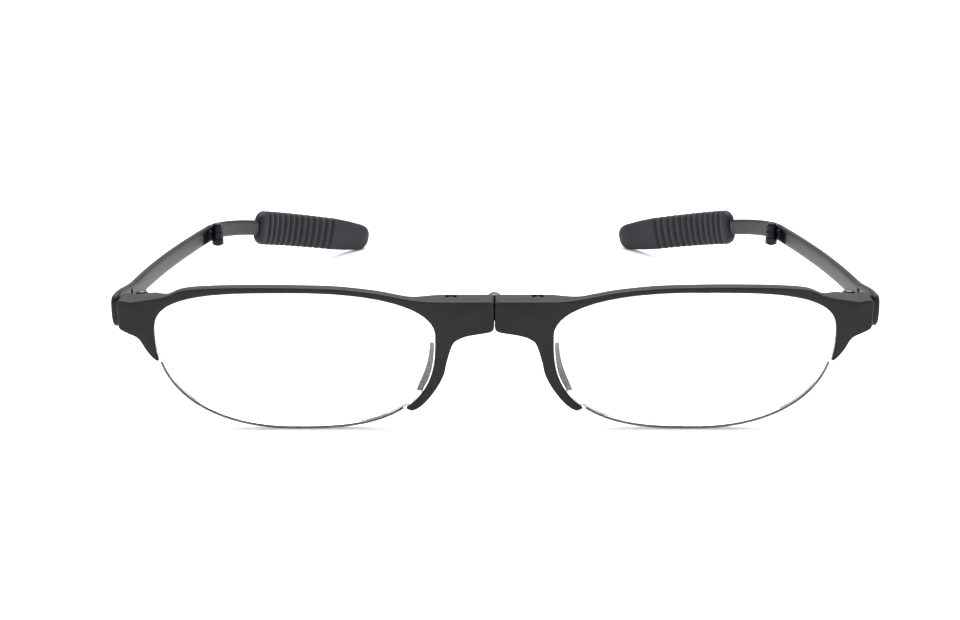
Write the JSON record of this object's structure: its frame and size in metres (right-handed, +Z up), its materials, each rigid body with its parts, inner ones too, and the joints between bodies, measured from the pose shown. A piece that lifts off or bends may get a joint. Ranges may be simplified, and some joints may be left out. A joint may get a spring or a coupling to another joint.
{
  "type": "folding reading glasses",
  "caption": "Semi-rimless reading glasses that fold at the bridge, the end pieces and half-way along the arms, with ribbed rubber grips.",
  "frame": {"origin": "middle of the footprint, on the surface that the lenses and arm tips stand on", "axes": "+X to the wearer's left, +Y from the front towards the arm tips, +Z up; the front looks along -Y"},
  "size_m": [0.131, 0.1213, 0.0256],
  "materials": {
    "frame": "matt, blue-black",
    "grip": "soft matt",
    "lens": "clear, polished",
    "thread": "nylon thread",
    "steel": "satin",
    "dark_steel": "gloss black"
  },
  "bodies": {
    "right_front": {"right_front_half": "frame", "right_lens": "lens", "right_lens_thread": "thread", "right_bridge_leaf": "steel", "right_bridge_screw": "dark_steel", "bridge_pin": "steel", "right_end_leaf": "steel", "right_end_screw": "dark_steel"},
    "left_front": {"left_front_half": "frame", "left_lens": "lens", "left_lens_thread": "thread", "left_bridge_leaf": "steel", "left_bridge_screw": "dark_steel", "left_end_leaf": "steel", "left_end_screw": "dark_steel"},
    "right_arm": {"right_forward_arm": "frame", "right_arm_leaf": "steel", "right_mid_front_leaf": "dark_steel", "right_mid_pin": "dark_steel"},
    "right_rear": {"right_rear_arm": "frame", "right_grip": "grip", "right_mid_rear_leaf": "dark_steel"},
    "left_arm": {"left_forward_arm": "frame", "left_arm_leaf": "steel", "left_mid_front_leaf": "dark_steel", "left_mid_pin": "dark_steel"},
    "left_rear": {"left_rear_arm": "frame", "left_grip": "grip", "left_mid_rear_leaf": "dark_steel"}
  },
  "joints": [
    {"name": "bridge_fold", "type": "hinge", "parent": "right_front", "child": "left_front", "pos_m": [0, -0.0536, 0.02005], "axis": [0, 0, 1], "range_deg": [0, 30]},
    {"name": "right_arm_fold", "type": "hinge", "parent": "right_front", "child": "right_arm", "pos_m": [-0.06115, -0.0532, 0.0205], "axis": [0, 0, -1], "range_deg": [0, 78]},
    {"name": "right_rear_fold", "type": "hinge", "parent": "right_arm", "child": "right_rear", "pos_m": [-0.0586, 0.00403, 0.0179], "axis": [0, 0, -1], "range_deg": [0, 172]},
    {"name": "left_arm_fold", "type": "hinge", "parent": "left_front", "child": "left_arm", "pos_m": [0.06115, -0.0532, 0.0205], "axis": [0, 0, 1], "range_deg": [0, 78]},
    {"name": "left_rear_fold", "type": "hinge", "parent": "left_arm", "child": "left_rear", "pos_m": [0.0586, 0.00403, 0.0179], "axis": [0, 0, 1], "range_deg": [0, 172]}
  ]
}
